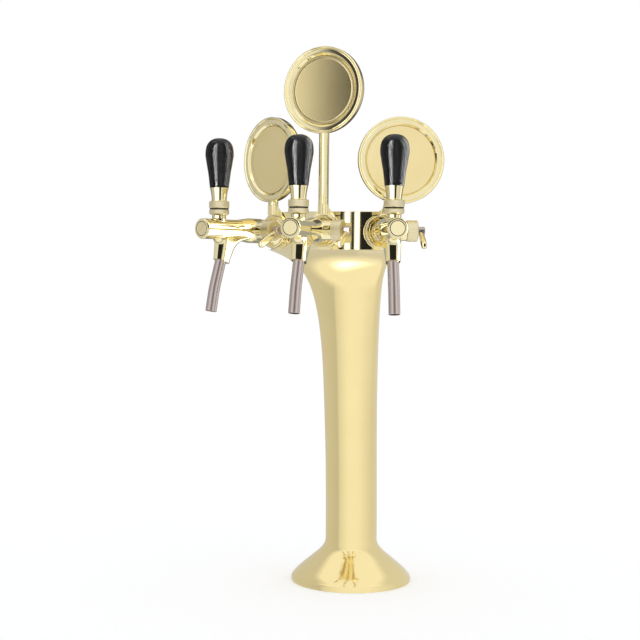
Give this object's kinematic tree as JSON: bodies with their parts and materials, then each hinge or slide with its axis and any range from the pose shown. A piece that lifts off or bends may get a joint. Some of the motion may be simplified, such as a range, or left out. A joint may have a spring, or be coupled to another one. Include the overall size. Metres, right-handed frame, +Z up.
{
  "type": "beer_tower",
  "caption": "Polished gold beer tower with a round column that flares into a fan-shaped head, carrying taps with black grips, steel outlets, compensator levers and round medallions",
  "frame": {"origin": "centre of the foot's underside, on the counter", "axes": "+Z up, -Y towards the drinker, +X to the drinker's right when the drinker faces the taps"},
  "size_m": [0.2731, 0.3393, 0.6865],
  "materials": {
    "gold": "polished, PVD gold",
    "gold_satin": "satin, fine knurl",
    "gold_pale": "brushed, pale",
    "raw_brass": "machined",
    "steel": "fine brushed",
    "grip_black": "gloss",
    "rubber": "matt",
    "hose": "matt"
  },
  "bodies": {
    "tower": {"column_shell": "gold", "base_gasket": "rubber", "base_ring": "steel", "ring_screws": "steel", "head_wall": "gold", "head_lid": "gold", "lid_screws": "gold", "beer_lines": "hose", "cooling_loop": "steel", "tap_shanks": "raw_brass", "shank_nuts": "raw_brass", "hose_clamps": "steel", "tap_flanges": "gold", "front_plugs": "gold", "plug_seals": "rubber", "pivot_collars": "gold", "compensator_housings": "gold_satin", "left_tap_body": "gold", "left_outlet_tube": "steel", "left_medallion_bracket": "gold", "left_medallion_pole": "gold", "left_medallion_rim": "gold", "left_medallion_plate": "gold_pale", "middle_tap_body": "gold", "middle_outlet_tube": "steel", "middle_medallion_bracket": "gold", "middle_medallion_pole": "gold", "middle_medallion_rim": "gold", "middle_medallion_plate": "gold_pale", "right_tap_body": "gold", "right_outlet_tube": "steel", "right_medallion_bracket": "gold", "right_medallion_pole": "gold", "right_medallion_rim": "gold", "right_medallion_plate": "gold_pale"},
    "left_handle": {"left_lever": "gold", "left_lock_ring": "gold_satin", "left_ferrule": "gold", "left_grip": "grip_black"},
    "left_valve": {"left_plunger": "steel"},
    "left_regulator": {"left_spindle": "steel", "left_paddle": "gold"},
    "left_cone": {"left_flow_cone": "steel"},
    "middle_handle": {"middle_lever": "gold", "middle_lock_ring": "gold_satin", "middle_ferrule": "gold", "middle_grip": "grip_black"},
    "middle_valve": {"middle_plunger": "steel"},
    "middle_regulator": {"middle_spindle": "steel", "middle_paddle": "gold"},
    "middle_cone": {"middle_flow_cone": "steel"},
    "right_handle": {"right_lever": "gold", "right_lock_ring": "gold_satin", "right_ferrule": "gold", "right_grip": "grip_black"},
    "right_valve": {"right_plunger": "steel"},
    "right_regulator": {"right_spindle": "steel", "right_paddle": "gold"},
    "right_cone": {"right_flow_cone": "steel"}
  },
  "joints": [
    {"name": "left_handle_pivot", "type": "hinge", "parent": "tower", "child": "left_handle", "pos_m": [-0.10866, -0.2079, 0.475], "axis": [0.9171, -0.3987, 0], "range_deg": [-15, 25]},
    {"name": "left_valve_slide", "type": "slide", "parent": "tower", "child": "left_valve", "axis": [-0.3987, -0.9171, 0], "range_m": [-0.0063, 0.0038]},
    {"name": "left_regulator_turn", "type": "hinge", "parent": "tower", "child": "left_regulator", "pos_m": [-0.08553, -0.15471, 0.461], "axis": [0.9171, -0.3987, 0], "range_deg": [-45, 45]},
    {"name": "left_cone_slide", "type": "slide", "parent": "tower", "child": "left_cone", "axis": [-0.3987, -0.9171, 0], "range_m": [-0.00188, 0.00188]},
    {"name": "middle_handle_pivot", "type": "hinge", "parent": "tower", "child": "middle_handle", "pos_m": [0, -0.2305, 0.475], "axis": [1, 0, 0], "range_deg": [-15, 25]},
    {"name": "middle_valve_slide", "type": "slide", "parent": "tower", "child": "middle_valve", "axis": [0, -1, 0], "range_m": [-0.0063, 0.0038]},
    {"name": "middle_regulator_turn", "type": "hinge", "parent": "tower", "child": "middle_regulator", "pos_m": [0, -0.1725, 0.461], "axis": [1, 0, 0], "range_deg": [-45, 45]},
    {"name": "middle_cone_slide", "type": "slide", "parent": "tower", "child": "middle_cone", "axis": [0, -1, 0], "range_m": [-0.00188, 0.00188]},
    {"name": "right_handle_pivot", "type": "hinge", "parent": "tower", "child": "right_handle", "pos_m": [0.10866, -0.2079, 0.475], "axis": [0.9171, 0.3987, 0], "range_deg": [-15, 25]},
    {"name": "right_valve_slide", "type": "slide", "parent": "tower", "child": "right_valve", "axis": [0.3987, -0.9171, 0], "range_m": [-0.0063, 0.0038]},
    {"name": "right_regulator_turn", "type": "hinge", "parent": "tower", "child": "right_regulator", "pos_m": [0.08553, -0.15471, 0.461], "axis": [0.9171, 0.3987, 0], "range_deg": [-45, 45]},
    {"name": "right_cone_slide", "type": "slide", "parent": "tower", "child": "right_cone", "axis": [0.3987, -0.9171, 0], "range_m": [-0.00188, 0.00188]}
  ],
  "couplings": [
    {"joint": "left_valve_slide", "follows": "left_handle_pivot", "m_per_rad": -0.014},
    {"joint": "left_regulator_turn", "follows": "left_cone_slide", "rad_per_m": -416.67},
    {"joint": "middle_valve_slide", "follows": "middle_handle_pivot", "m_per_rad": -0.014},
    {"joint": "middle_regulator_turn", "follows": "middle_cone_slide", "rad_per_m": -416.67},
    {"joint": "right_valve_slide", "follows": "right_handle_pivot", "m_per_rad": -0.014},
    {"joint": "right_regulator_turn", "follows": "right_cone_slide", "rad_per_m": -416.67}
  ]
}
